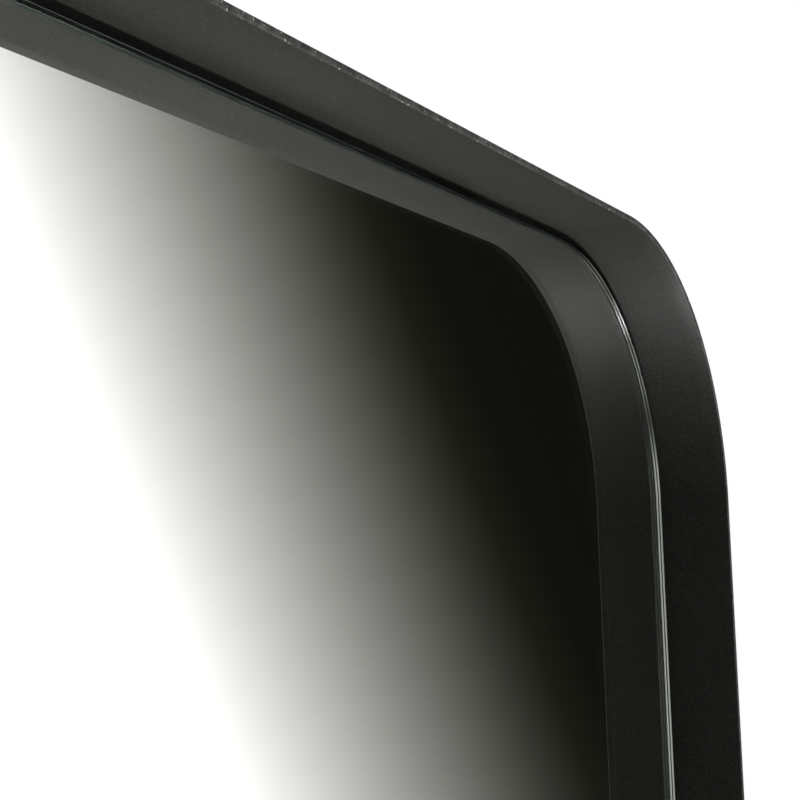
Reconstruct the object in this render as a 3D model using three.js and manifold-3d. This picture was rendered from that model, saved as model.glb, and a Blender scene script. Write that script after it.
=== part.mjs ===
// A wall mirror: a flat silvered pane set deep inside a black steel band with rounded corners.
// The pane is taped to a fibreboard panel, the panel is screwed to lugs welded inside the band,
// and the mirror hangs from two D-rings that swing in straps on the upper pair of lugs.
// Millimetres, +Z up. The glass faces -Y and the wall is at +Y. The origin is the centre of the overall box.
import * as THREE from "three";
import { mergeVertices } from "three/addons/utils/BufferGeometryUtils.js";
import Module from "manifold-3d";

// Steel band
const WIDTH = 600;
const HEIGHT = 800;
const BAND_DEPTH = 45;
const BAND_WALL = 2;
const CORNER_RADIUS = 92; // outside of the band
const ARC_STEPS = 24; // facets in each quarter turn of a corner

// Pane and panel
const RECESS = 25; // front edge of the band to the face of the glass
const GLASS_THICK = 4;
const GLASS_GAP = 2.5; // between the edge of the glass and the band
const COATING_THICK = 0.25; // silver, and the paint that protects it
const FILM_THICK = 0.25; // safety film
const COATING_INSET = 0.5; // the silver stops short of the ground edge
const TAPE_THICK = 1.5;
const TAPE_WIDTH = 25;
const TAPE_LENGTH = 700;
const TAPE_PITCH = 110;
const TAPE_COUNT = 5;
const BOARD_THICK = 6;
const BOARD_GAP = 1;
const BLOCK_LENGTH = 50; // setting blocks that carry the glass
const BLOCK_DEPTH = 3.5;
const BLOCK_X = 150;

// Lugs
const LUG_THICK = 2;
const LUG_LENGTH = 40; // along the band
const LUG_REACH = 25; // in from the band
const LUG_CORNER = 4;
const WELD_GAP = 0.25;
const END_LUG_X = 150; // top and bottom lugs
const SIDE_LUG_Z = [0, -240];
const SCREW_REACH = 14; // centre of a screw, in from the band
const END_LUG_PITCH = 20; // screw to buffer on the top and bottom lugs

// Hangers
const HANGER_Z = 262; // the axis that the D-ring swings about
const HANGER_REACH = 17; // centre of the strap, in from the band
const HANGER_LUG_REACH = 34;
const HANGER_LUG_LENGTH = 56;
const HANGER_LUG_BELOW = 50; // from the axis down to the lug's lower edge
const STRAP_THICK = 1;
const STRAP_WIDTH = 14;
const STRAP_LENGTH = 42; // from the axis down
const EYE_RADIUS = 2.75; // outside of the rolled eye
const STRAP_SCREWS = [24, 36]; // below the axis
const RING_WIRE = 1.4; // radius of the wire
const RING_HALF_WIDTH = 10.4; // to the middle of the wire
const RING_CORNER = 2.8;
const RING_SIDE = 2.4; // straight stretch between the corner and the bow
const RING_STEPS = 64;

// Screws and wall buffers
const SHANK_RADIUS = 2;
const SHANK_TAPER = 2.5;
const HEAD_RADIUS = 3.6;
const HEAD_RIM = 0.7;
const HEAD_HEIGHT = 2;
const HOLE_RADIUS = 2.3;
const LUG_SCREW_LENGTH = 7;
const STRAP_SCREW_LENGTH = 8;
const ROUND_STEPS = 16;
const BUFFER_RADIUS = 6;
const BUFFER_PROUD = 1; // behind the band
const BUFFER_FILLET = 1;

// Places along Y, from the front to the wall
const BAND_FRONT = -(BAND_DEPTH + BUFFER_PROUD) / 2;
const BUFFER_REAR = -BAND_FRONT;
const GLASS_FRONT = BAND_FRONT + RECESS;
const COATING_FRONT = GLASS_FRONT + GLASS_THICK;
const FILM_FRONT = COATING_FRONT + COATING_THICK;
const TAPE_FRONT = FILM_FRONT + FILM_THICK;
const BOARD_FRONT = TAPE_FRONT + TAPE_THICK;
const LUG_FRONT = BOARD_FRONT + BOARD_THICK;
const LUG_REAR = LUG_FRONT + LUG_THICK;
const STRAP_REAR = LUG_REAR + STRAP_THICK;
const AXIS_Y = LUG_REAR + EYE_RADIUS;

// Half sizes of the opening inside the band
const INNER_X = WIDTH / 2 - BAND_WALL;
const INNER_Z = HEIGHT / 2 - BAND_WALL;
const HANGER_X = INNER_X - HANGER_REACH;

const wasm = await Module();
wasm.setup();

const paintedSteel = new THREE.MeshStandardMaterial({ color: 0x1b1b1a, roughness: 0.55, metalness: 0.3 });
const zincSteel = new THREE.MeshStandardMaterial({ color: 0xb9bcbe, roughness: 0.35, metalness: 1 });
const glass = new THREE.MeshStandardMaterial({ color: 0xcfe3d8, roughness: 0.02, metalness: 0 });
const silver = new THREE.MeshStandardMaterial({ color: 0xeef0f0, roughness: 0.03, metalness: 1 });
const film = new THREE.MeshStandardMaterial({ color: 0x8f969a, roughness: 0.6, metalness: 0 });
const foam = new THREE.MeshStandardMaterial({ color: 0xdedede, roughness: 0.9, metalness: 0 });
const board = new THREE.MeshStandardMaterial({ color: 0x2a2826, roughness: 0.85, metalness: 0 });
const rubber = new THREE.MeshStandardMaterial({ color: 0x26262a, roughness: 0.8, metalness: 0 });

// A rectangle with rounded corners, as a Path or a Shape.
function roundedRectangle(kind, width, height, radius, centreX = 0, centreY = 0) {
  const x = width / 2 - radius;
  const y = height / 2 - radius;
  const outline = new kind();
  outline.absarc(centreX + x, centreY + y, radius, 0, Math.PI / 2, false);
  outline.absarc(centreX - x, centreY + y, radius, Math.PI / 2, Math.PI, false);
  outline.absarc(centreX - x, centreY - y, radius, Math.PI, 1.5 * Math.PI, false);
  outline.absarc(centreX + x, centreY - y, radius, 1.5 * Math.PI, 2 * Math.PI, false);
  outline.closePath();
  return outline;
}

function roundHole(x, y, radius) {
  const hole = new THREE.Path();
  hole.absarc(x, y, radius, 0, 2 * Math.PI, true);
  return hole;
}

// A plate of constant thickness that lies in the XZ plane, with its front face at frontY.
function plate(shape, frontY, thickness, curveSegments) {
  const geometry = new THREE.ExtrudeGeometry(shape, { depth: thickness, bevelEnabled: false, curveSegments });
  const standing = new THREE.Matrix4().makeBasis(
    new THREE.Vector3(1, 0, 0),
    new THREE.Vector3(0, 0, 1),
    new THREE.Vector3(0, -1, 0),
  );
  return geometry.applyMatrix4(standing).translate(0, frontY + thickness, 0);
}

function toSolid(geometry) {
  const bare = geometry.clone();
  bare.deleteAttribute("normal");
  bare.deleteAttribute("uv");
  const merged = mergeVertices(bare, 1e-4);
  const vertProperties = new Float32Array(merged.getAttribute("position").array);
  const triVerts = new Uint32Array(merged.index.array);
  return new wasm.Manifold(new wasm.Mesh({ numProp: 3, vertProperties, triVerts }));
}

function toGeometry(solid) {
  const { vertProperties, triVerts } = solid.getMesh();
  const geometry = new THREE.BufferGeometry();
  geometry.setAttribute("position", new THREE.BufferAttribute(vertProperties, 3));
  geometry.setIndex(new THREE.BufferAttribute(triVerts, 1));
  return geometry;
}

function named(name, geometry, material, x = 0, y = 0, z = 0) {
  const mesh = new THREE.Mesh(geometry, material);
  mesh.name = name;
  mesh.position.set(x, y, z);
  return mesh;
}

// The band: flat bar bent on edge into a closed ring.
function frameBand() {
  const ring = roundedRectangle(THREE.Shape, WIDTH, HEIGHT, CORNER_RADIUS);
  ring.holes.push(roundedRectangle(THREE.Path, 2 * INNER_X, 2 * INNER_Z, CORNER_RADIUS - BAND_WALL));
  return named("frame_band", plate(ring, BAND_FRONT, BAND_DEPTH, ARC_STEPS), paintedSteel);
}

// A sheet with the outline of the opening, smaller all round by gap.
function sheetShape(gap) {
  return roundedRectangle(THREE.Shape, 2 * (INNER_X - gap), 2 * (INNER_Z - gap), CORNER_RADIUS - BAND_WALL - gap);
}

function pane() {
  const group = new THREE.Group();
  const layers = [
    ["mirror_glass", GLASS_GAP, GLASS_FRONT, GLASS_THICK, glass],
    ["silver_coating", GLASS_GAP + COATING_INSET, COATING_FRONT, COATING_THICK, silver],
    ["safety_film", GLASS_GAP + COATING_INSET, FILM_FRONT, FILM_THICK, film],
  ];
  for (const [name, gap, front, thickness, material] of layers) {
    group.add(named(name, plate(sheetShape(gap), front, thickness, ARC_STEPS), material));
  }
  return group;
}

function bondTapes() {
  const group = new THREE.Group();
  for (let i = 0; i < TAPE_COUNT; i += 1) {
    const x = (i - (TAPE_COUNT - 1) / 2) * TAPE_PITCH;
    const strip = new THREE.BoxGeometry(TAPE_WIDTH, TAPE_THICK, TAPE_LENGTH);
    group.add(named(`bond_tape_${i + 1}`, strip, foam, x, TAPE_FRONT + TAPE_THICK / 2, 0));
  }
  return group;
}

function settingBlocks() {
  const group = new THREE.Group();
  for (const [side, sign] of [["left", -1], ["right", 1]]) {
    const block = new THREE.BoxGeometry(BLOCK_LENGTH, BLOCK_DEPTH, GLASS_GAP);
    const y = GLASS_FRONT + GLASS_THICK - BLOCK_DEPTH / 2;
    group.add(named(`setting_block_${side}`, block, rubber, sign * BLOCK_X, y, -INNER_Z + GLASS_GAP / 2));
  }
  return group;
}

// Where the screws go through the lugs: [name, x, z] seen from the front.
function lugScrewPlaces() {
  const places = [];
  for (const [side, sign] of [["left", -1], ["right", 1]]) {
    const x = sign * (END_LUG_X - END_LUG_PITCH / 2);
    places.push([`top_${side}`, x, INNER_Z - SCREW_REACH]);
    places.push([`bottom_${side}`, x, -INNER_Z + SCREW_REACH]);
    SIDE_LUG_Z.forEach((z, i) => places.push([`${side}_${i + 1}`, sign * (INNER_X - SCREW_REACH), z]));
  }
  return places;
}

function strapScrewPlaces() {
  const places = [];
  for (const [side, sign] of [["left", -1], ["right", 1]]) {
    STRAP_SCREWS.forEach((below, i) => places.push([`${side}_${i + 1}`, sign * HANGER_X, HANGER_Z - below]));
  }
  return places;
}

function backingBoard() {
  const outline = sheetShape(BOARD_GAP);
  for (const [, x, z] of [...lugScrewPlaces(), ...strapScrewPlaces()]) {
    outline.holes.push(roundHole(x, z, HOLE_RADIUS));
  }
  return named("backing_board", plate(outline, BOARD_FRONT, BOARD_THICK, ARC_STEPS), board);
}

// A lug of the given width and height round (x, z), with round holes at the given places.
function lug(name, width, height, x, z, holes) {
  const outline = roundedRectangle(THREE.Shape, width, height, LUG_CORNER, x, z);
  for (const [holeX, holeZ] of holes) outline.holes.push(roundHole(holeX, holeZ, HOLE_RADIUS));
  return named(name, plate(outline, LUG_FRONT, LUG_THICK, ROUND_STEPS / 4), paintedSteel);
}

function lugs() {
  const group = new THREE.Group();
  const inset = WELD_GAP + LUG_REACH / 2;
  for (const [name, x, z] of lugScrewPlaces()) {
    const onEnd = name.startsWith("top") || name.startsWith("bottom");
    const lugX = onEnd ? Math.sign(x) * END_LUG_X : Math.sign(x) * (INNER_X - inset);
    const lugZ = onEnd ? Math.sign(z) * (INNER_Z - inset) : z;
    const [width, height] = onEnd ? [LUG_LENGTH, LUG_REACH] : [LUG_REACH, LUG_LENGTH];
    group.add(lug(`lug_${name}`, width, height, lugX, lugZ, [[x, z]]));
  }
  return group;
}

function hangerLugs() {
  const group = new THREE.Group();
  const z = HANGER_Z - HANGER_LUG_BELOW + HANGER_LUG_LENGTH / 2;
  for (const [side, sign] of [["left", -1], ["right", 1]]) {
    const x = sign * (INNER_X - WELD_GAP - HANGER_LUG_REACH / 2);
    const holes = STRAP_SCREWS.map((below) => [sign * HANGER_X, HANGER_Z - below]);
    group.add(lug(`hanger_lug_${side}`, HANGER_LUG_REACH, HANGER_LUG_LENGTH, x, z, holes));
  }
  return group;
}

// A pan-head screw that points at -Y, with the underside of its head at the origin.
function screw(length) {
  const outline = [
    [0, -length],
    [SHANK_RADIUS, -length + SHANK_TAPER],
    [SHANK_RADIUS, 0],
    [HEAD_RADIUS, 0],
    [HEAD_RADIUS, HEAD_RIM],
    [HEAD_RADIUS * 0.78, HEAD_HEIGHT * 0.78],
    [HEAD_RADIUS * 0.4, HEAD_HEIGHT * 0.97],
    [0, HEAD_HEIGHT],
  ];
  return new THREE.LatheGeometry(outline.map(([r, y]) => new THREE.Vector2(r, y)), ROUND_STEPS);
}

function screws() {
  const group = new THREE.Group();
  for (const [name, x, z] of lugScrewPlaces()) {
    group.add(named(`lug_screw_${name}`, screw(LUG_SCREW_LENGTH), zincSteel, x, LUG_REAR, z));
  }
  for (const [name, x, z] of strapScrewPlaces()) {
    group.add(named(`strap_screw_${name}`, screw(STRAP_SCREW_LENGTH), zincSteel, x, STRAP_REAR, z));
  }
  return group;
}

// A strap with its end rolled into an eye round the axis. Its back lies on the lug.
function strapGeometry() {
  const meetZ = -Math.sqrt(EYE_RADIUS ** 2 - (EYE_RADIUS - STRAP_THICK) ** 2);
  const section = new THREE.Shape();
  section.moveTo(0, -STRAP_LENGTH);
  section.lineTo(STRAP_THICK, -STRAP_LENGTH);
  section.lineTo(STRAP_THICK, meetZ);
  section.absarc(EYE_RADIUS, 0, EYE_RADIUS, Math.atan2(meetZ, STRAP_THICK - EYE_RADIUS), Math.PI, false);
  section.closePath();
  section.holes.push(roundHole(EYE_RADIUS, 0, EYE_RADIUS - STRAP_THICK));
  const solid = new THREE.ExtrudeGeometry(section, { depth: STRAP_WIDTH, bevelEnabled: false, curveSegments: 20 });
  const along = new THREE.Matrix4().makeBasis(
    new THREE.Vector3(0, 1, 0),
    new THREE.Vector3(0, 0, 1),
    new THREE.Vector3(1, 0, 0),
  );
  solid.applyMatrix4(along).translate(-STRAP_WIDTH / 2, 0, 0);
  let strap = toSolid(solid);
  for (const below of STRAP_SCREWS) {
    const drill = new THREE.CylinderGeometry(HOLE_RADIUS, HOLE_RADIUS, 4 * STRAP_THICK, ROUND_STEPS);
    strap = strap.subtract(toSolid(drill.translate(0, 0, -below)));
  }
  return toGeometry(strap);
}

// A D-ring of round wire that hangs below its straight bar, which lies along X at the origin.
function ringGeometry() {
  const straight = RING_HALF_WIDTH - RING_CORNER;
  const sideEnd = -RING_CORNER - RING_SIDE;
  const outline = new THREE.Path();
  outline.moveTo(-straight, 0);
  outline.lineTo(straight, 0);
  outline.absarc(straight, -RING_CORNER, RING_CORNER, Math.PI / 2, 0, true);
  outline.absarc(0, sideEnd, RING_HALF_WIDTH, 0, -Math.PI, true);
  outline.absarc(-straight, -RING_CORNER, RING_CORNER, Math.PI, Math.PI / 2, true);
  const points = outline.getSpacedPoints(RING_STEPS).slice(0, -1);
  const loop = new THREE.CatmullRomCurve3(points.map((p) => new THREE.Vector3(p.x, 0, p.y)), true);
  return new THREE.TubeGeometry(loop, RING_STEPS, RING_WIRE, 8, true);
}

function hangers() {
  const group = new THREE.Group();
  for (const [side, sign] of [["left", -1], ["right", 1]]) {
    group.add(named(`hanger_strap_${side}`, strapGeometry(), zincSteel, sign * HANGER_X, LUG_REAR, HANGER_Z));
    group.add(named(`hanger_ring_${side}`, ringGeometry(), zincSteel, sign * HANGER_X, AXIS_Y, HANGER_Z));
  }
  return group;
}

// Rubber buffers on the top and bottom lugs keep the band off the wall.
function wallBuffers() {
  const group = new THREE.Group();
  const height = BUFFER_REAR - LUG_REAR;
  const outline = [
    [0, 0],
    [BUFFER_RADIUS, 0],
    [BUFFER_RADIUS - BUFFER_FILLET / 2, height - BUFFER_FILLET],
    [BUFFER_RADIUS - 1.5 * BUFFER_FILLET, height],
    [0, height],
  ];
  const points = outline.map(([r, y]) => new THREE.Vector2(r, y));
  for (const [end, up] of [["top", 1], ["bottom", -1]]) {
    for (const [side, sign] of [["left", -1], ["right", 1]]) {
      const geometry = new THREE.LatheGeometry(points, ROUND_STEPS);
      const x = sign * (END_LUG_X + END_LUG_PITCH / 2);
      const z = up * (INNER_Z - SCREW_REACH);
      group.add(named(`wall_buffer_${end}_${side}`, geometry, rubber, x, LUG_REAR, z));
    }
  }
  return group;
}

const mirror = new THREE.Group();
mirror.add(frameBand(), pane(), bondTapes(), settingBlocks(), backingBoard());
mirror.add(lugs(), hangerLugs(), screws(), hangers(), wallBuffers());

export default mirror;
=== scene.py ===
"""A wall mirror in a deep black steel band with rounded corners: its looks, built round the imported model.

Metres, +Z up. The glass faces -Y and the wall is at +Y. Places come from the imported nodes' boxes.
"""

import math
import random

import bmesh
import bpy
from mathutils import Matrix, Vector, noise


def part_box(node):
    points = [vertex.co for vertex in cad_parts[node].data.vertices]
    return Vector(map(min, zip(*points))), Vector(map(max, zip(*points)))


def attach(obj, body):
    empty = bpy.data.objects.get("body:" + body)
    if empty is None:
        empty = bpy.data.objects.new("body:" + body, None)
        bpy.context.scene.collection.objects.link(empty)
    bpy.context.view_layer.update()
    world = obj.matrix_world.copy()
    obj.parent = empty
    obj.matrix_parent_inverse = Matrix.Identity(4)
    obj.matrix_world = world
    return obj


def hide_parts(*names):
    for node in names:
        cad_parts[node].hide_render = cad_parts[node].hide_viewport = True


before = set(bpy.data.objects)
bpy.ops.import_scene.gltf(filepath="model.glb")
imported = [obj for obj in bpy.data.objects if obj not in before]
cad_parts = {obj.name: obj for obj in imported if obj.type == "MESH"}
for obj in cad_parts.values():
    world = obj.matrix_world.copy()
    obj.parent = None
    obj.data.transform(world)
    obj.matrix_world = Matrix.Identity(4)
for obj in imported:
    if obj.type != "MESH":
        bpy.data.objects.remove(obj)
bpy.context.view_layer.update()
random.seed(7)

MM = 0.001
BODY = "mirror_body"

# The band and the pane, as packed
BAND_LOW, BAND_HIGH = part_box("frame_band")
GLASS_LOW, GLASS_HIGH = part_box("mirror_glass")
BOARD_LOW, BOARD_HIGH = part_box("backing_board")
BAND_WALL = 2 * MM
INNER_RADIUS = 90 * MM
EDGE_ROUND = 0.35 * MM  # of the band's long edges
INNER_X = BAND_HIGH.x - BAND_WALL
INNER_Z = BAND_HIGH.z - BAND_WALL
CORNER = Vector((INNER_X - INNER_RADIUS, GLASS_LOW.y, INNER_Z - INNER_RADIUS))

# ---------------------------------------------------------------- camera

CAMERA_FROM_CORNER = Vector((-496.8, -207.7, -30.1)) * MM  # from the middle of the top right corner's arc
CAMERA_YAW = 61.27  # degrees from +Y towards +X
CAMERA_PITCH = 6.78
CAMERA_ROLL = -1.68
CAMERA_LENS = 72.0
CAMERA_SENSOR = 36
CAMERA_NEAR = 10 * MM


def camera_axes():
    """Which way the camera looks, and its right and up."""
    yaw, pitch, roll = (math.radians(a) for a in (CAMERA_YAW, CAMERA_PITCH, CAMERA_ROLL))
    ahead = Vector((math.sin(yaw) * math.cos(pitch), math.cos(yaw) * math.cos(pitch), math.sin(pitch)))
    level = Vector((math.cos(yaw), -math.sin(yaw), 0))
    upright = level.cross(ahead)
    right = level * math.cos(roll) + upright * math.sin(roll)
    up = upright * math.cos(roll) - level * math.sin(roll)
    return ahead, right, up


def make_camera():
    """Looks at the top right corner of the mirror from its left, close to the glass."""
    ahead, right, up = camera_axes()
    camera = bpy.data.objects.new("camera", bpy.data.cameras.new("camera"))
    bpy.context.scene.collection.objects.link(camera)
    turn = Matrix((right, up, -ahead)).transposed().to_4x4()
    camera.matrix_world = Matrix.Translation(CORNER + CAMERA_FROM_CORNER) @ turn
    camera.data.sensor_width = CAMERA_SENSOR
    camera.data.lens = CAMERA_LENS
    camera.data.clip_start = CAMERA_NEAR
    bpy.context.scene.camera = camera


make_camera()
bpy.context.scene.view_settings.view_transform = "Standard"

# ---------------------------------------------------------------- nodes


def node(tree, kind, inputs=None, **settings):
    """Adds a shader node, with its settings, and its inputs set or linked."""
    made = tree.nodes.new("ShaderNode" + kind)
    for key, value in settings.items():
        setattr(made, key, value)
    for key, value in (inputs or {}).items():
        if isinstance(value, bpy.types.NodeSocket):
            tree.links.new(value, made.inputs[key])
        else:
            made.inputs[key].default_value = value
    return made


def maths(tree, operation, *values):
    return node(tree, "Math", dict(enumerate(values)), operation=operation).outputs[0]


def split(tree, vector):
    """The X, Y and Z of a vector, by name."""
    return node(tree, "SeparateXYZ", {0: vector}).outputs


def stretch(tree, vector, scale, turn=(0, 0, 0)):
    """A place to look up a noise, turned and scaled."""
    return node(tree, "Mapping", {"Vector": vector, "Rotation": turn, "Scale": scale}).outputs[0]


def dot(tree, vector, constant):
    return node(tree, "VectorMath", {0: vector, 1: constant}, operation="DOT_PRODUCT").outputs["Value"]


def remap(tree, value, low, high, to_low=0.0, to_high=1.0, kind="SMOOTHSTEP"):
    inputs = {"Value": value, "From Min": low, "From Max": high, "To Min": to_low, "To Max": to_high}
    return node(tree, "MapRange", inputs, interpolation_type=kind).outputs["Result"]


def blend(tree, factor, first, second):
    """Mixes two colours or two colour sockets."""
    return node(tree, "Mix", {0: factor, 6: first, 7: second}, data_type="RGBA").outputs[2]


def multiply(tree, first, second):
    """The product of two colours or greys."""
    inputs = {0: 1.0, 6: first, 7: second}
    return node(tree, "Mix", inputs, data_type="RGBA", blend_type="MULTIPLY").outputs[2]


def ramp(tree, value, stops):
    """A grey or coloured ramp through (position, colour) stops."""
    made = node(tree, "ValToRGB", {"Fac": value})
    elements = made.color_ramp.elements
    while len(elements) < len(stops):
        elements.new(0.5)
    for element, (position, colour) in zip(elements, stops):
        element.position = position
        element.color = grey(colour) if isinstance(colour, float) else colour
    return made.outputs["Color"]


def grey(value):
    return (value, value, value, 1.0)


def noise_at(tree, where, scale, detail=3.0, roughness=0.5):
    inputs = {"Vector": where, "Scale": scale, "Detail": detail, "Roughness": roughness}
    return node(tree, "TexNoise", inputs).outputs["Fac"]


# ---------------------------------------------------------------- studio

BASE_LIGHT = 0.022
HORIZON_LIGHT = 1.14  # so that white comes back white from the mirror
HORIZON_FADE_IN = (-30, -9)  # degrees of elevation
HORIZON_FADE_OUT = (50, 25)
HORIZON_FADE_ACROSS = (-20, 42)  # degrees of azimuth, from the front towards +X
CEILING_LIGHT = 1.0
CEILING_FADE_IN = (45, 70)
BEHIND_LIGHT = (0.55, 1.35)  # behind the mirror, at the low and the high end of its fade
BEHIND_FADE = (-40, 60)
KEY_LIGHT = 35.0  # a soft box below the mirror
KEY_FROM = Vector((-0.02, -0.05, -1)).normalized()
KEY_SPREAD = 17  # degrees from its middle to its edge
FILLS = (  # weak lights low in front, which the edge of the glass catches: light, where it is, its spread
    (0.60, Vector((-0.92, -0.37, -0.10)).normalized(), 33),
    (0.36, Vector((-0.40, -0.48, -0.78)).normalized(), 32),
    (0.30, Vector((0.52, -0.48, -0.70)).normalized(), 34),
)
FILL_TINT = (0.96, 1.0, 0.92)
FLAG_LEAN = 0.388
FLAG_STOPS = (  # degrees across the view, and how bright the light then looks
    (-180, 1.0), (-10.1, 1.0), (0.9, 0.13), (1.7, 0.094), (3.0, 0.066), (40, 0.066), (60, 1.0),
)
FLAG_WARMTH = (  # how bright the light looks, and its tint
    (0.0, (1, 0.94, 0.58, 1)), (0.2, (1, 0.97, 0.83, 1)), (0.45, (1, 0.985, 0.93, 1)),
    (0.8, (1, 0.995, 0.98, 1)), (1.0, (1, 1, 1, 1)),
)
DISPLAY_GAMMA = 2.4  # with the toe, how a display turns what is stored into light
DISPLAY_TOE = 0.055


def flag(tree, direction):
    """How much light gets past a black flag on the right of what the mirror shows.

    The edge of the flag leans and is very soft.
    """
    ahead, right, up = (Vector((a.x, -a.y, a.z)) for a in camera_axes())
    across = (right + FLAG_LEAN * up).normalized()
    turned = maths(tree, "ARCTAN2", dot(tree, direction, across), dot(tree, direction, ahead))
    position = remap(tree, maths(tree, "DEGREES", turned), -180, 180, kind="LINEAR")
    shown = ramp(tree, position, [((angle + 180) / 360, level) for angle, level in FLAG_STOPS])
    lifted = maths(tree, "ADD", shown, DISPLAY_TOE)
    light = maths(tree, "POWER", maths(tree, "DIVIDE", lifted, 1 + DISPLAY_TOE), DISPLAY_GAMMA)
    return multiply(tree, ramp(tree, shown, FLAG_WARMTH), light)


def soft_light(tree, direction, middle, spread, level):
    """A round light that is brightest in its middle and fades out at its edge."""
    away = maths(tree, "DEGREES", maths(tree, "ARCCOSINE", dot(tree, direction, middle)))
    return remap(tree, away, 0, spread, level, 0.0)


def make_world():
    """A studio with a white horizon in front, a soft box below, a pale ceiling and a bright back.

    What the camera sees directly is plain white.
    """
    world = bpy.data.worlds.new("studio")
    bpy.context.scene.world = world
    world.use_nodes = True
    tree = world.node_tree
    tree.nodes.clear()
    direction = node(tree, "TexCoord").outputs["Generated"]
    part = split(tree, direction)
    forward = maths(tree, "MULTIPLY", part["Y"], -1.0)
    azimuth = maths(tree, "DEGREES", maths(tree, "ARCTAN2", part["X"], forward))
    elevation = maths(tree, "DEGREES", maths(tree, "ARCSINE", part["Z"]))

    ceiling = remap(tree, elevation, *CEILING_FADE_IN, 0.0, CEILING_LIGHT)
    bottom = remap(tree, elevation, *HORIZON_FADE_IN)
    top = remap(tree, elevation, *HORIZON_FADE_OUT)
    across = remap(tree, azimuth, *HORIZON_FADE_ACROSS, 0.0, HORIZON_LIGHT)
    horizon = maths(tree, "MULTIPLY", maths(tree, "MULTIPLY", bottom, top), across)
    key = soft_light(tree, direction, KEY_FROM, KEY_SPREAD, KEY_LIGHT)
    front = maths(tree, "ADD", maths(tree, "ADD", ceiling, horizon), maths(tree, "ADD", key, BASE_LIGHT))
    fill = 0.0
    for level, middle, spread in FILLS:
        fill = maths(tree, "ADD", fill, soft_light(tree, direction, middle, spread, level))
    fill = multiply(tree, (*FILL_TINT, 1), fill)
    front = node(tree, "VectorMath", {0: front, 1: fill}, operation="ADD").outputs[0]
    front = multiply(tree, front, flag(tree, direction))
    behind = remap(tree, elevation, *BEHIND_FADE, *BEHIND_LIGHT)
    light = blend(tree, remap(tree, part["Y"], 0.0, 0.4), front, behind)

    studio = node(tree, "Background", {"Color": light, "Strength": 1.0})
    backdrop = node(tree, "Background", {"Color": grey(1.0), "Strength": 1.0})
    seen = node(tree, "LightPath").outputs["Is Camera Ray"]
    shown = node(tree, "MixShader", {0: seen, 1: studio.outputs[0], 2: backdrop.outputs[0]})
    node(tree, "OutputWorld", {"Surface": shown.outputs[0]})


make_world()

# ---------------------------------------------------------------- materials


def new_material(name):
    material = bpy.data.materials.new(name)
    material.use_nodes = True
    material.node_tree.nodes.clear()
    tree = material.node_tree
    return material, tree, node(tree, "TexCoord").outputs["Object"]


def output(tree, surface, volume=None):
    made = node(tree, "OutputMaterial", {"Surface": surface})
    if volume:
        tree.links.new(volume, made.inputs["Volume"])


def principled(tree, inputs):
    return node(tree, "BsdfPrincipled", inputs).outputs["BSDF"]


def bump(tree, height, distance, strength):
    inputs = {"Height": height, "Distance": distance, "Strength": strength}
    return node(tree, "Bump", inputs).outputs["Normal"]


def powder_coat():
    """Fine-grained matt black paint with a few specks of dust. Along the front edge it is painted paler,
    partly as rubbed wear and partly as a painted highlight, with pale chips that are partly painted glints.
    """
    material, tree, where = new_material("powder_coat")
    grain = noise_at(tree, where, 1150, 2.5, 0.65)
    fine = noise_at(tree, where, 4200, 1.0)
    cloud = noise_at(tree, where, 14, 3.0)
    paint = ramp(tree, cloud, [(0.3, (0.0235, 0.0240, 0.0200, 1)), (0.7, (0.0295, 0.0300, 0.0255, 1))])
    pits = remap(tree, grain, 0.34, 0.66, 0.45, 1.60)
    paint = multiply(tree, paint, pits)
    paint = blend(tree, remap(tree, fine, 0.40, 0.75, 0.0, 0.9), paint, (0.050, 0.050, 0.044, 1))
    depth = split(tree, where)["Y"]
    # The front edge of the band, which is painted paler below: partly rubbed wear, partly a painted
    # highlight.
    front_rim = remap(tree, depth, BAND_LOW.y, BAND_LOW.y + 1.4 * EDGE_ROUND, 1.0, 0.0)
    patchy = remap(tree, noise_at(tree, where, 260, 4.0, 0.7), 0.35, 0.70, 0.15, 0.75)
    wear_and_highlight = maths(tree, "MULTIPLY", front_rim, patchy)
    # Pale grey on the front rim: partly rubbed paint, partly a painted highlight.
    colour = blend(tree, wear_and_highlight, paint, (0.27, 0.27, 0.255, 1))
    # Pale specks on the front rim: chips to bare metal, painted white as partly wear and partly painted
    # glints.
    chips_and_glints = remap(tree, noise_at(tree, where, 900, 1.0), 0.69, 0.73)
    colour = blend(tree, maths(tree, "MULTIPLY", chips_and_glints, front_rim), colour, (0.85, 0.85, 0.82, 1))
    dust = remap(tree, noise_at(tree, where, 1300, 0.0), 0.84, 0.88)
    colour = blend(tree, dust, colour, (0.16, 0.16, 0.15, 1))
    rough = remap(tree, cloud, 0.3, 0.7, 0.50, 0.58)
    rough = maths(tree, "SUBTRACT", rough, maths(tree, "MULTIPLY", wear_and_highlight, 0.15))
    height = maths(tree, "ADD", grain, maths(tree, "MULTIPLY", fine, 0.35))
    output(tree, principled(tree, {
        "Base Color": colour,
        "Roughness": rough,
        "Specular IOR Level": 0.5,
        "Normal": bump(tree, height, 0.07 * MM, 0.9),
    }))
    return material


GLASS_IOR = 1.52
GLASS_TINT = (0.40, 0.80, 0.60, 1)
GLASS_DENSITY = 6.0


def glass_volume(tree):
    return node(tree, "VolumeAbsorption", {"Color": GLASS_TINT, "Density": GLASS_DENSITY}).outputs[0]


def polished_glass():
    """Clear float glass, with a trace of haze where it has been wiped."""
    material, tree, where = new_material("polished_glass")
    haze = remap(tree, noise_at(tree, where, 9, 4.0), 0.58, 0.75, 0.0, 0.004)
    surface = principled(tree, {
        "Base Color": grey(1.0), "Roughness": haze, "IOR": GLASS_IOR, "Transmission Weight": 1.0,
        "Specular Tint": grey(0.0)})
    output(tree, surface, glass_volume(tree))
    return material


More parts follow.
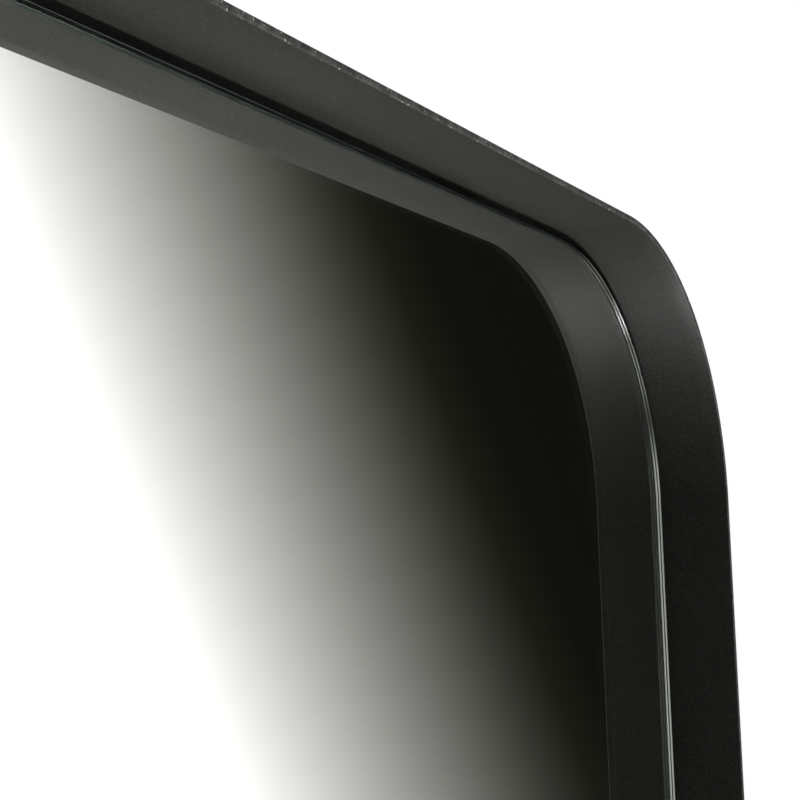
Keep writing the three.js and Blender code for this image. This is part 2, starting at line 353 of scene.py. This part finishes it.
def ground_edge():
    """The ground edge: pale green, clearer towards its back, with fine lines left round it by the wheel."""
    material, tree, where = new_material("ground_edge")
    depth = split(tree, where)["Y"]
    wander = maths(tree, "MULTIPLY", noise_at(tree, where, 25, 2.0), 0.5 * MM)
    layer = node(tree, "CombineXYZ", {1: maths(tree, "ADD", depth, wander)}).outputs[0]
    lines = noise_at(tree, layer, 2300, 2.0, 0.7)
    patches = noise_at(tree, where, 70, 3.0)
    grit = noise_at(tree, where, 2600, 2.0)
    behind = remap(tree, depth, GLASS_LOW.y + 0.3 * MM, GLASS_LOW.y + 2.4 * MM, kind="LINEAR")
    polished = remap(tree, lines, 0.36, 0.55, 0.75, 1.0)
    polished = maths(tree, "MULTIPLY", polished, remap(tree, behind, 0, 1, 0.2, 1.0))
    colour = ramp(tree, patches, [(0.3, (0.48, 0.58, 0.52, 1)), (0.7, (0.68, 0.78, 0.72, 1))])
    colour = multiply(tree, colour, remap(tree, behind, 0.2, 0.9, 0.6, 1.0))
    height = maths(tree, "ADD", lines, maths(tree, "MULTIPLY", grit, 0.15))
    edge = principled(tree, {
        "Base Color": colour,
        "Roughness": remap(tree, lines, 0.3, 0.7, 0.16, 0.06),
        "IOR": GLASS_IOR,
        "Transmission Weight": polished,
        "Normal": bump(tree, height, 0.008 * MM, 0.6),
    })
    output(tree, edge, glass_volume(tree))
    return material


def silvering():
    """The silver behind the glass, with the faintest unevenness."""
    material, tree, where = new_material("silvering")
    patch = noise_at(tree, where, 6, 2.0)
    colour = ramp(tree, patch, [(0.3, (0.945, 0.937, 0.917, 1)), (0.7, (0.960, 0.950, 0.930, 1))])
    rough = remap(tree, patch, 0.3, 0.7, 0.0, 0.002)
    output(tree, principled(tree, {"Base Color": colour, "Metallic": 1.0, "Roughness": rough}))
    return material


def zinc_steel():
    """Bright zinc plating: faint rainbow cloudiness and fine scratches."""
    material, tree, where = new_material("zinc_steel")
    cloud = noise_at(tree, where, 160, 3.0)
    blue, straw, pale = (0.50, 0.52, 0.54, 1), (0.62, 0.61, 0.57, 1), (0.56, 0.58, 0.60, 1)
    tint = ramp(tree, cloud, [(0.25, blue), (0.5, straw), (0.75, pale)])
    drawn = stretch(tree, where, (6, 1, 1))
    scratches = remap(tree, noise_at(tree, drawn, 1500, 4.0, 0.7), 0.55, 0.72)
    colour = blend(tree, scratches, tint, (0.42, 0.42, 0.41, 1))
    rough = remap(tree, cloud, 0.3, 0.7, 0.24, 0.36)
    rough = maths(tree, "ADD", rough, maths(tree, "MULTIPLY", scratches, 0.12))
    output(tree, principled(tree, {
        "Base Color": colour,
        "Metallic": 1.0,
        "Roughness": rough,
        "Normal": bump(tree, noise_at(tree, where, 2400, 3.0), 0.02 * MM, 0.6),
    }))
    return material


def fibreboard():
    """Black-faced fibreboard: matted fibres on the face, and brown, rough-sawn where its edge shows."""
    material, tree, where = new_material("fibreboard")
    fibres = noise_at(tree, stretch(tree, where, (1, 1, 2.5)), 900, 5.0, 0.65)
    mottle = noise_at(tree, where, 35, 4.0)
    face = ramp(tree, fibres, [(0.35, (0.014, 0.013, 0.012, 1)), (0.68, (0.046, 0.043, 0.040, 1))])
    face = blend(tree, remap(tree, mottle, 0.35, 0.7, 0.0, 0.4), face, (0.056, 0.052, 0.047, 1))
    scuffs = stretch(tree, where, (1, 1, 14), turn=(0, 0.5, 0))
    scuffed = remap(tree, noise_at(tree, scuffs, 45, 5.0, 0.7), 0.62, 0.70, 0.0, 0.6)
    face = blend(tree, scuffed, face, (0.110, 0.103, 0.095, 1))
    depth = split(tree, where)["Y"]
    sawn = remap(tree, depth, BOARD_HIGH.y - 0.8 * MM, BOARD_HIGH.y - 0.4 * MM, 1.0, 0.0)
    colour = blend(tree, sawn, face, (0.16, 0.105, 0.065, 1))
    output(tree, principled(tree, {
        "Base Color": colour,
        "Roughness": remap(tree, fibres, 0.3, 0.7, 0.62, 0.85),
        "Normal": bump(tree, fibres, 0.12 * MM, 0.7),
    }))
    return material


def black_rubber():
    """Moulded black rubber, dusty, with a fine matt skin."""
    material, tree, where = new_material("black_rubber")
    dust = remap(tree, noise_at(tree, where, 420, 5.0, 0.7), 0.5, 0.75, 0.0, 0.6)
    colour = blend(tree, dust, (0.022, 0.022, 0.023, 1), (0.075, 0.072, 0.068, 1))
    output(tree, principled(tree, {
        "Base Color": colour,
        "Roughness": remap(tree, dust, 0.0, 0.6, 0.62, 0.88),
        "Normal": bump(tree, noise_at(tree, where, 2200, 3.0), 0.05 * MM, 0.6),
    }))
    return material


def foam():
    """White closed-cell foam, with its open pores where it was cut."""
    material, tree, where = new_material("foam")
    cells = node(tree, "TexVoronoi", {"Vector": where, "Scale": 2600.0}).outputs["Distance"]
    colour = ramp(tree, cells, [(0.1, (0.62, 0.61, 0.58, 1)), (0.6, (0.82, 0.81, 0.78, 1))])
    output(tree, principled(tree, {
        "Base Color": colour,
        "Roughness": remap(tree, cells, 0.0, 0.7, 0.75, 0.95),
        "Normal": bump(tree, cells, 0.1 * MM, 0.6),
    }))
    return material


WEAVE_RATE = 4200.0  # radians a metre


def safety_film():
    """Grey woven safety film over the paint on the back of the silver."""
    material, tree, where = new_material("safety_film")
    place = split(tree, where)
    across = maths(tree, "SINE", maths(tree, "MULTIPLY", place["X"], WEAVE_RATE))
    down = maths(tree, "SINE", maths(tree, "MULTIPLY", place["Z"], WEAVE_RATE))
    weave = maths(tree, "MULTIPLY", across, down)
    raised = remap(tree, weave, -1, 1)
    colour = ramp(tree, raised, [(0.1, (0.32, 0.34, 0.36, 1)), (0.9, (0.48, 0.50, 0.52, 1))])
    output(tree, principled(tree, {
        "Base Color": colour,
        "Roughness": remap(tree, noise_at(tree, where, 60, 3.0), 0.3, 0.7, 0.45, 0.65),
        "Normal": bump(tree, weave, 0.04 * MM, 0.6),
    }))
    return material


POWDER = powder_coat()
POLISHED = polished_glass()
GROUND = ground_edge()
SILVER = silvering()
ZINC = zinc_steel()
BOARD = fibreboard()
RUBBER = black_rubber()
FOAM = foam()
FILM = safety_film()

# ---------------------------------------------------------------- mesh work


def make_piece(node_name, mesh, materials, body=BODY):
    """Links a finished mesh, in the frame's own coordinates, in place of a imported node."""
    piece = bpy.data.objects.new(node_name + "_fine", mesh)
    bpy.context.scene.collection.objects.link(piece)
    mesh.materials.clear()
    for material in materials:
        mesh.materials.append(material)
    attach(piece, body)
    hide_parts(node_name)


SHARP_ANGLE = 35  # degrees between two faces, from which the edge between them is sharp


def mesh_from(name, points, faces, sharp=SHARP_ANGLE):
    """A mesh with outward faces, smooth but for edges sharper than the given angle."""
    mesh = bpy.data.meshes.new(name)
    mesh.from_pydata(points, [], faces)
    work = bmesh.new()
    work.from_mesh(mesh)
    tidy_mesh(work, sharp)
    work.to_mesh(mesh)
    work.free()
    return mesh


def tidy_mesh(work, sharp):
    """Turns the faces outward and makes them smooth but for the sharp edges."""
    bmesh.ops.recalc_face_normals(work, faces=work.faces)
    for face in work.faces:
        face.smooth = True
    for edge in work.edges:
        edge.smooth = edge.calc_face_angle(math.pi) < math.radians(sharp)


FLAT = 0.9999  # the Y of a face's normal, from which it counts as flat to Y


def keep_flats(work):
    """Makes the rims of faces flat to Y sharp, so that their shading does not bend towards the bevel."""
    work.normal_update()
    for edge in work.edges:
        flat = [abs(face.normal.y) > FLAT for face in edge.link_faces]
        if any(flat) and not all(flat):
            edge.smooth = False


def rounded_outline(half_x, half_z, radius, arc_steps, stride):
    """A rounded rectangle as (x, z, outward x, outward z), anticlockwise seen from the front."""
    outline = []
    for turn in range(4):
        side_x, side_z = ((1, 1), (-1, 1), (-1, -1), (1, -1))[turn]
        centre = (side_x * (half_x - radius), side_z * (half_z - radius))
        for step in range(arc_steps + 1):
            angle = math.radians(90 * (turn + step / arc_steps))
            out = (math.cos(angle), math.sin(angle))
            outline.append((centre[0] + radius * out[0], centre[1] + radius * out[1], *out))
        length = 2 * (half_x - radius) if turn % 2 == 0 else 2 * (half_z - radius)
        along = (-math.sin(angle), math.cos(angle))
        count = max(1, round(length / stride))
        x, z = outline[-1][:2]
        for step in range(1, count):
            run = length * step / count
            outline.append((x + along[0] * run, z + along[1] * run, *out))
    return outline


def sweep(outline, section):
    """Sweeps a closed section of (outward, y) points round a closed outline. Returns points and faces."""
    points = [(x + out_x * r, y, z + out_z * r) for x, z, out_x, out_z in outline for r, y in section]
    rows, columns = len(outline), len(section)
    faces = []
    for i in range(rows):
        here, ahead = i * columns, (i + 1) % rows * columns
        for j in range(columns):
            beside = (j + 1) % columns
            faces.append((here + j, here + beside, ahead + beside, ahead + j))
    return points, faces


def rounded_section(width, low, high, radius, steps, stride):
    """The band's section: width outward by low to high in y, with rounded corners."""
    section = []
    corners = ((width - radius, high - radius, 0), (radius, high - radius, 90),
               (radius, low + radius, 180), (width - radius, low + radius, 270))
    for r, y, start in corners:
        for step in range(steps + 1):
            angle = math.radians(start + 90 * step / steps)
            section.append((r + radius * math.cos(angle), y + radius * math.sin(angle)))
    count = round((high - low) / stride)
    inner = [(0.0, high - radius - (high - low - 2 * radius) * k / count) for k in range(1, count)]
    outer = [(width, low + radius + (high - low - 2 * radius) * k / count) for k in range(1, count)]
    half = 2 * (steps + 1)
    return section[:half] + inner + section[half:] + outer


# ---------------------------------------------------------------- the band

BAND_ARC_STEPS = 72
BAND_STRIDE = 12 * MM  # between the points of its straight runs
BAND_DEPTH_STRIDE = 5 * MM
BAND_EDGE_STEPS = 4
BAND_SHARP_ANGLE = 60


def make_band():
    outline = rounded_outline(INNER_X, INNER_Z, INNER_RADIUS, BAND_ARC_STEPS, BAND_STRIDE)
    depth = (BAND_LOW.y, BAND_HIGH.y)
    section = rounded_section(BAND_WALL, *depth, EDGE_ROUND, BAND_EDGE_STEPS, BAND_DEPTH_STRIDE)
    points, faces = sweep(outline, section)
    mesh = mesh_from("frame_band_fine", points, faces, BAND_SHARP_ANGLE)
    make_piece("frame_band", mesh, [POWDER])


make_band()

# ---------------------------------------------------------------- the pane

GLASS_ARC_STEPS = 150
GLASS_STRIDE = 2.5 * MM
GLASS_RADIUS = INNER_RADIUS - (INNER_X - GLASS_HIGH.x)
GLASS_SHARP_ANGLE = 20
ARRIS = 0.6 * MM
SILVER_GAP = 0.02 * MM
CORNER_NICKS = ((52, 0.55), (43, 0.7), (34, 0.9))  # degrees round the top right corner, depth in mm
NICK_LENGTH = 0.9 * MM
UNEVENNESS = 0.07 * MM


def nick_depth(x, z):
    """How far the front arris is chipped back at a point of the glass edge."""
    depth = 0.0
    for angle, deep in CORNER_NICKS:
        turn = math.radians(angle)
        nick_x = CORNER.x + GLASS_RADIUS * math.cos(turn)
        nick_z = CORNER.z + GLASS_RADIUS * math.sin(turn)
        away = math.hypot(x - nick_x, z - nick_z)
        depth += deep * MM * math.exp(-(away / NICK_LENGTH) ** 2)
    uneven = noise.noise(Vector((x, 0.3, z)) * 160) + 0.5 * noise.noise(Vector((x, 0.7, z)) * 610)
    return depth + UNEVENNESS * uneven


def make_glass():
    """The pane, with its flat faces polished and its ground edge a little uneven along the arris."""
    front, back = GLASS_LOW.y, GLASS_HIGH.y - SILVER_GAP
    middle_y = (front + back) / 2
    outline = rounded_outline(GLASS_HIGH.x, GLASS_HIGH.z, GLASS_RADIUS, GLASS_ARC_STEPS, GLASS_STRIDE)
    points = []
    for x, z, out_x, out_z in outline:
        arris = ARRIS + nick_depth(x, z)
        rear = ARRIS + 0.3 * nick_depth(z, x)
        profile = ((-arris, front), (0, front + arris), (0, middle_y), (0, back - rear), (-rear, back))
        points += [(x + out_x * r, y, z + out_z * r) for r, y in profile]
    columns = len(profile)
    rows = len(outline)
    edge = []
    for i in range(rows):
        here, ahead = i * columns, (i + 1) % rows * columns
        edge += [(here + j, ahead + j, ahead + j + 1, here + j + 1) for j in range(columns - 1)]
    front_face = tuple(i * columns for i in range(rows))
    back_face = tuple(i * columns + columns - 1 for i in reversed(range(rows)))
    mesh = mesh_from("mirror_glass_fine", points, [*edge, front_face, back_face], GLASS_SHARP_ANGLE)
    make_piece("mirror_glass", mesh, [POLISHED, GROUND])
    for polygon in mesh.polygons:
        polygon.material_index = 0 if len(polygon.vertices) > 4 else 1


make_glass()

# ---------------------------------------------------------------- the back


def carry(node_name, material):
    """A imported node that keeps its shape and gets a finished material."""
    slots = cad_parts[node_name].data.materials
    slots.clear()
    slots.append(material)


carry("silver_coating", SILVER)
carry("safety_film", FILM)
for node_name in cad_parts:
    if node_name.startswith("bond_tape"):
        carry(node_name, FOAM)


def flat_outline(low, high, radius, steps=6):
    """A rounded rectangle in (x, z) from its lowest to its highest corner."""
    centre = (low + high) / 2
    half = (high - low) / 2
    outline = rounded_outline(half.x, half.z, radius, steps, 1.0)
    return [(centre.x + x, centre.z + z) for x, z, _, _ in outline]


def round_outline(x, z, radius, steps=24):
    turns = [2 * math.pi * k / steps for k in range(steps)]
    return [(x + radius * math.cos(-a), z + radius * math.sin(-a)) for a in turns]


def evaluated_mesh(thing):
    """The mesh of an object with its modifiers applied. The object itself goes."""
    bpy.context.scene.collection.objects.link(thing)
    graph = bpy.context.evaluated_depsgraph_get()
    mesh = bpy.data.meshes.new_from_object(thing.evaluated_get(graph))
    bpy.data.objects.remove(thing)
    return mesh


def plate(outlines, front, back, bevel):
    """A plate from y = front to y = back. The first outline is its rim and the rest are holes."""
    curve = bpy.data.curves.new("plate", "CURVE")
    curve.dimensions = "2D"
    curve.fill_mode = "BOTH"
    curve.extrude = (back - front) / 2 - bevel
    curve.bevel_depth = bevel
    curve.bevel_resolution = 2
    curve.offset = -bevel
    for outline in outlines:
        spline = curve.splines.new("POLY")
        spline.points.add(len(outline) - 1)
        for point, (x, z) in zip(spline.points, outline):
            point.co = (x, z, 0, 1)
        spline.use_cyclic_u = True
    mesh = evaluated_mesh(bpy.data.objects.new("plate", curve))
    mesh.transform(Matrix.Translation((0, (front + back) / 2, 0)) @ Matrix.Rotation(math.pi / 2, 4, "X"))
    return mesh


MERGE_DISTANCE = 0.001 * MM


def join_meshes(name, meshes, sharp=SHARP_ANGLE):
    """One mesh from several closed ones."""
    work = bmesh.new()
    for mesh in meshes:
        work.from_mesh(mesh)
        bpy.data.meshes.remove(mesh)
    bmesh.ops.remove_doubles(work, verts=work.verts, dist=MERGE_DISTANCE)
    bmesh.ops.dissolve_degenerate(work, edges=work.edges, dist=MERGE_DISTANCE)
    tidy_mesh(work, sharp)
    keep_flats(work)
    joined = bpy.data.meshes.new(name)
    work.to_mesh(joined)
    work.free()
    return joined


def lathe(profile, steps):
    """Points and faces of a solid turned about Y from (radius, y) points, the first and last on the axis.

    A radius may be a number or a function of the turn, from 0 to 1.
    """
    points = [(0, profile[0][1], 0)]
    for radius, y in profile[1:-1]:
        for k in range(steps):
            r = radius(k / steps) if callable(radius) else radius
            angle = 2 * math.pi * k / steps
            points.append((r * math.cos(angle), y, r * math.sin(angle)))
    points.append((0, profile[-1][1], 0))
    last = len(points) - 1
    rings = len(profile) - 2
    faces = [(0, 1 + k, 1 + (k + 1) % steps) for k in range(steps)]
    for ring in range(rings - 1):
        start = 1 + ring * steps
        for k in range(steps):
            beside = (k + 1) % steps
            faces.append((start + k, start + steps + k, start + steps + beside, start + beside))
    start = 1 + (rings - 1) * steps
    faces += [(start + k, last, start + (k + 1) % steps) for k in range(steps)]
    return points, faces


def cut(mesh, cutters):
    """The mesh less each of the cutter meshes."""
    thing = bpy.data.objects.new("cut", mesh)
    tools = []
    for cutter in cutters:
        tool = bpy.data.objects.new("tool", cutter)
        bpy.context.scene.collection.objects.link(tool)
        modifier = thing.modifiers.new("cut", "BOOLEAN")
        modifier.operation = "DIFFERENCE"
        modifier.solver = "EXACT"
        modifier.object = tool
        tools.append(tool)
    result = evaluated_mesh(thing)
    for tool in tools:
        bpy.data.objects.remove(tool)
    return result


def middle(node_name):
    low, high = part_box(node_name)
    return (low + high) / 2


BOARD_RADIUS = INNER_RADIUS - (INNER_X - BOARD_HIGH.x)
BOARD_BEVEL = 0.4 * MM
HOLE_RADIUS = 2.3 * MM
PLATE_BEVEL = 0.25 * MM
SCREWS = [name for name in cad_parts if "_screw_" in name]


def make_board():
    outlines = [flat_outline(BOARD_LOW, BOARD_HIGH, BOARD_RADIUS, 24)]
    outlines += [round_outline(middle(name).x, middle(name).z, HOLE_RADIUS) for name in SCREWS]
    mesh = join_meshes("backing_board_fine", [plate(outlines, BOARD_LOW.y, BOARD_HIGH.y, BOARD_BEVEL)])
    make_piece("backing_board", mesh, [BOARD])


WELD_LENGTH = 9 * MM
WELD_RADIUS = 1.1 * MM
WELD_RIPPLES = 14
WELD_FROM_END = 10 * MM  # from the end of a lug to the middle of its bead
LUG_RADIUS = 4 * MM


def weld_bead(centre, along):
    """A short rippled bead of weld that lies along a direction."""
    rows = 4 * WELD_RIPPLES
    profile = [(0, -WELD_LENGTH / 2)]
    for k in range(1, rows):
        share = k / rows
        swell = math.sqrt(math.sin(math.pi * share))
        ripple = 1 + 0.09 * math.cos(2 * math.pi * WELD_RIPPLES * share)
        profile.append((WELD_RADIUS * swell * ripple, (share - 0.5) * WELD_LENGTH))
    profile.append((0, WELD_LENGTH / 2))
    mesh = mesh_from("bead", *lathe(profile, 14))
    turn = Vector((0, 1, 0)).rotation_difference(along).to_matrix().to_4x4()
    mesh.transform(Matrix.Translation(centre) @ turn)
    return mesh


def make_lug(name):
    """A plate with rounded corners and screw holes, held to the band by two beads of weld."""
    low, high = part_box(name)
    centre = (low + high) / 2
    holes = [middle(s) for s in SCREWS]
    holes = [h for h in holes if low.x < h.x < high.x and low.z < h.z < high.z]
    outlines = [flat_outline(low, high, LUG_RADIUS)]
    outlines += [round_outline(h.x, h.z, HOLE_RADIUS) for h in holes]
    parts = [plate(outlines, low.y, high.y, PLATE_BEVEL)]
    if high.z > INNER_Z - 1 * MM or low.z < -INNER_Z + 1 * MM:
        out, along, reach = Vector((0, 0, math.copysign(1, centre.z))), Vector((1, 0, 0)), INNER_Z
    else:
        out, along, reach = Vector((math.copysign(1, centre.x), 0, 0)), Vector((0, 0, 1)), INNER_X
    half = (high - low).dot(along) / 2
    for side in (-1, 1):
        place = centre + along * side * (half - WELD_FROM_END)
        place -= out * place.dot(out)
        place += out * (reach - 0.45 * WELD_RADIUS)
        place.y = high.y + 0.15 * WELD_RADIUS
        parts.append(weld_bead(place, along))
    mesh = join_meshes(name + "_fine", parts)
    make_piece(name, mesh, [POWDER])


SHANK_RADIUS = 2.0 * MM
SCREW_TAPER = 2.5 * MM
HEAD_RADIUS = 3.6 * MM
HEAD_RIM = 0.7 * MM
HEAD_HEIGHT = 2.0 * MM
HEAD_STEPS = 9
THREAD_PITCH = 1.1 * MM
THREAD_DEPTH = 0.35 * MM
RECESS_WIDTH = 4.2 * MM
RECESS_DEPTH = 1.5 * MM


def recess_cutter(turn):
    """One arm of the cross recess: a block that narrows towards the bottom of the recess."""
    tool = bmesh.new()
    bmesh.ops.create_cube(tool, size=1)
    for vertex in tool.verts:
        top = vertex.co.y > 0
        vertex.co.x *= RECESS_WIDTH if top else 0.45 * RECESS_WIDTH
        vertex.co.z *= 0.95 * MM if top else 0.7 * MM
        vertex.co.y = HEAD_HEIGHT + 0.2 * MM if top else HEAD_HEIGHT - RECESS_DEPTH
    mesh = bpy.data.meshes.new("tool")
    tool.to_mesh(mesh)
    tool.free()
    mesh.transform(Matrix.Rotation(math.radians(turn), 4, "Y"))
    return mesh


def screw_mesh(length):
    """A pan-head screw that points at -Y, with the underside of its head at the origin and a cross recess."""
    rows = 8 * int(length / THREAD_PITCH)
    profile = [(0, -length)]
    for k in range(1, rows):
        y = -length * (1 - k / rows)
        narrow = min(1.0, (y + length) / SCREW_TAPER)

        def radius(turn, y=y, narrow=narrow):
            phase = (y / THREAD_PITCH - turn) % 1.0
            return narrow * (SHANK_RADIUS - THREAD_DEPTH * abs(2 * phase - 1))

        profile.append((radius, y))
    profile += [(SHANK_RADIUS - THREAD_DEPTH, 0.0), (HEAD_RADIUS - 0.15 * MM, 0.0)]
    profile += [(HEAD_RADIUS, 0.15 * MM), (HEAD_RADIUS, HEAD_RIM)]
    for k in range(1, HEAD_STEPS):
        angle = math.radians(90 * k / HEAD_STEPS)
        y = HEAD_RIM + (HEAD_HEIGHT - HEAD_RIM) * math.sin(angle)
        profile.append((HEAD_RADIUS * math.cos(angle), y))
    profile.append((0, HEAD_HEIGHT))
    body = mesh_from("screw", *lathe(profile, 28))
    return join_meshes("screw", [cut(body, [recess_cutter(45), recess_cutter(135)])], 30)


def make_screws():
    """The screws, one mesh for each length, each turned by chance."""
    plain = {}
    for name in SCREWS:
        low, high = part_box(name)
        length = high.y - low.y - HEAD_HEIGHT
        key = round(length / MM)
        if key not in plain:
            plain[key] = screw_mesh(length)
        mesh = plain[key].copy()
        turn = Matrix.Rotation(random.uniform(0, math.tau), 4, "Y")
        seat = Vector(((low.x + high.x) / 2, high.y - HEAD_HEIGHT, (low.z + high.z) / 2))
        mesh.transform(Matrix.Translation(seat) @ turn)
        make_piece(name, mesh, [ZINC])


STRAP_THICK = 1.0 * MM
EYE_RADIUS = 2.75 * MM
EYE_OPEN = 127  # degrees: the roll stops here, just short of the strap
STRAP_CORNER = 2.5 * MM


def corner_cutter(x, z, towards, depth):
    """Rounds off a square corner at (x, z). The strap lies above it and towards (+1 or -1) in X."""
    margin = 1 * MM
    outline = [(x - towards * margin, z - margin), (x + towards * STRAP_CORNER, z - margin)]
    for k in range(9):
        angle = math.radians(90 * k / 8)
        across = towards * STRAP_CORNER * (1 - math.sin(angle))
        outline.append((x + across, z + STRAP_CORNER * (1 - math.cos(angle))))
    outline.append((x - towards * margin, z + STRAP_CORNER))
    return join_meshes("tool", [plate([outline], *depth, 0)])


def make_strap(name):
    """A strap whose upper end is rolled into an eye for the ring. Its lower corners are round."""
    low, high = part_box(name)
    centre = (low + high) / 2
    eye_y, eye_z = low.y + EYE_RADIUS, high.z - EYE_RADIUS
    section = [(low.y + STRAP_THICK, low.z), (low.y, low.z)]
    turns = [180 - (180 + EYE_OPEN) * k / 48 for k in range(49)]
    for radius, angles in ((EYE_RADIUS, turns), (EYE_RADIUS - STRAP_THICK, reversed(turns))):
        for angle in angles:
            turn = math.radians(angle)
            section.append((eye_y + radius * math.cos(turn), eye_z + radius * math.sin(turn)))
    half = (high.x - low.x) / 2
    body = plate([section], -half, half, 0.12 * MM)
    body.transform(Matrix.Translation((centre.x, 0, 0)) @ Matrix.Rotation(math.pi / 2, 4, "Z"))
    depth = (low.y - 1 * MM, low.y + 2 * MM)
    cutters = [corner_cutter(low.x, low.z, 1, depth), corner_cutter(high.x, low.z, -1, depth)]
    for screw in (middle(s) for s in SCREWS):
        if low.x < screw.x < high.x and low.z < screw.z < high.z:
            profile = [(0, depth[0]), (HOLE_RADIUS, depth[0]), (HOLE_RADIUS, depth[1]), (0, depth[1])]
            drill = mesh_from("tool", *lathe(profile, 28))
            drill.transform(Matrix.Translation((screw.x, 0, screw.z)))
            cutters.append(drill)
    mesh = join_meshes(name + "_fine", [cut(join_meshes("strap", [body]), cutters)])
    make_piece(name, mesh, [ZINC])


RING_WIRE = 1.4 * MM
RING_CORNER = 2.8 * MM
RING_SIDE = 2.4 * MM
RING_STEPS = 24


def ring_outline(half_width):
    """The middle of the wire as (x, z, outward x, outward z), with the straight bar along x at z = 0."""
    outline = []
    arcs = ((half_width - RING_CORNER, -RING_CORNER, RING_CORNER, 0, 90, 10),
            (-half_width + RING_CORNER, -RING_CORNER, RING_CORNER, 90, 180, 10),
            (0, -RING_CORNER - RING_SIDE, half_width, 180, 360, 72))
    for x, z, radius, start, end, steps in arcs:
        for k in range(steps + 1):
            angle = math.radians(start + (end - start) * k / steps)
            out = (math.cos(angle), math.sin(angle))
            outline.append((x + radius * out[0], z + radius * out[1], *out))
    return outline


def make_ring(name, body):
    """A D-ring of round wire, bent so that its ends butt inside the eye."""
    low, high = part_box(name)
    centre = (low + high) / 2
    turns = [2 * math.pi * k / RING_STEPS for k in range(RING_STEPS)]
    section = [(RING_WIRE * math.cos(a), RING_WIRE * math.sin(a)) for a in turns]
    points, faces = sweep(ring_outline((high.x - low.x) / 2 - RING_WIRE), section)
    mesh = mesh_from(name + "_fine", points, faces)
    mesh.transform(Matrix.Translation((centre.x, centre.y, high.z - RING_WIRE)))
    make_piece(name, mesh, [ZINC], body)


BUFFER_FOOT = 0.3 * MM
BUFFER_TIP = 1.2 * MM
BUFFER_TAPER = 0.5 * MM


def make_buffer(name):
    """A moulded rubber foot: a slight taper, a rounded tip and a small dimple in its end."""
    low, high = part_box(name)
    centre = (low + high) / 2
    radius = (high.x - low.x) / 2
    tip = radius - BUFFER_TAPER
    profile = [(0, low.y), (radius - BUFFER_FOOT, low.y), (radius, low.y + BUFFER_FOOT)]
    profile.append((tip, high.y - BUFFER_TIP))
    for k in range(1, 7):
        angle = math.radians(90 * k / 6)
        inset = BUFFER_TIP * (1 - math.cos(angle))
        profile.append((tip - inset, high.y - BUFFER_TIP * (1 - math.sin(angle))))
    profile += [(1.6 * MM, high.y), (1.3 * MM, high.y - 0.15 * MM), (1.0 * MM, high.y - 0.5 * MM),
                (0, high.y - 0.6 * MM)]
    mesh = mesh_from(name + "_fine", *lathe(profile, 48), 40)
    mesh.transform(Matrix.Translation((centre.x, 0, centre.z)))
    make_piece(name, mesh, [RUBBER])


BLOCK_RADIUS = 0.5 * MM
BLOCK_BEVEL = 0.3 * MM


def make_block(name):
    """A setting block with soft corners."""
    low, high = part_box(name)
    outline = flat_outline(low, high, BLOCK_RADIUS)
    mesh = join_meshes(name + "_fine", [plate([outline], low.y, high.y, BLOCK_BEVEL)])
    make_piece(name, mesh, [RUBBER])


make_board()
make_screws()
for node_name in list(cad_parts):
    if node_name.startswith(("lug_top", "lug_bottom", "lug_left", "lug_right", "hanger_lug")):
        make_lug(node_name)
    elif node_name.startswith("hanger_strap"):
        make_strap(node_name)
    elif node_name.startswith("hanger_ring"):
        make_ring(node_name, node_name.replace("hanger_ring", "ring"))
    elif node_name.startswith("wall_buffer"):
        make_buffer(node_name)
    elif node_name.startswith("setting_block"):
        make_block(node_name)

# ---------------------------------------------------------------- floor

FLOOR_RADIUS = 2.5
FLOOR_BELOW = 0.5 * MM  # under the band
FLOOR_RINGS = 24
FLOOR_STEPS = 96


def floor_mesh():
    points = [(0, 0, 0)]
    for ring in range(1, FLOOR_RINGS + 1):
        radius = FLOOR_RADIUS * ring / FLOOR_RINGS
        for k in range(FLOOR_STEPS):
            angle = math.tau * k / FLOOR_STEPS
            points.append((radius * math.cos(angle), radius * math.sin(angle), 0))
    faces = [(0, 1 + k, 1 + (k + 1) % FLOOR_STEPS) for k in range(FLOOR_STEPS)]
    for ring in range(FLOOR_RINGS - 1):
        inner = 1 + ring * FLOOR_STEPS
        outer = inner + FLOOR_STEPS
        for k in range(FLOOR_STEPS):
            beside = (k + 1) % FLOOR_STEPS
            faces.append((inner + k, outer + k, outer + beside, inner + beside))
    mesh = bpy.data.meshes.new("floor")
    mesh.from_pydata(points, [], faces)
    mesh.transform(Matrix.Translation((0, 0, BAND_LOW.z - FLOOR_BELOW)))
    return mesh


def floor_paper():
    """Pale paper that fades to white towards the rim of the floor."""
    material, tree, where = new_material("floor_paper")
    away = node(tree, "VectorMath", {0: where}, operation="LENGTH").outputs["Value"]
    mottle = noise_at(tree, where, 6, 3.0)
    colour = ramp(tree, mottle, [(0.3, (0.80, 0.80, 0.79, 1)), (0.7, (0.84, 0.84, 0.83, 1))])
    paper = principled(tree, {
        "Base Color": colour,
        "Roughness": 0.9,
        "Normal": bump(tree, noise_at(tree, where, 700, 3.0), 0.1 * MM, 0.3),
    })
    white = node(tree, "Emission", {"Color": grey(1.0), "Strength": 1.0}).outputs[0]
    fade = remap(tree, away, 0.55 * FLOOR_RADIUS, 0.97 * FLOOR_RADIUS, 0.25, 1.0)
    output(tree, node(tree, "MixShader", {0: fade, 1: paper, 2: white}).outputs[0])
    return material


def make_floor():
    """A plain pale disc. Only the camera sees it, so that it doesn't shade the mirror."""
    mesh = floor_mesh()
    mesh.materials.append(floor_paper())
    floor = bpy.data.objects.new("floor", mesh)
    bpy.context.scene.collection.objects.link(floor)
    floor.visible_diffuse = False
    floor.visible_glossy = False
    floor.visible_transmission = False
    floor.visible_shadow = False


make_floor()
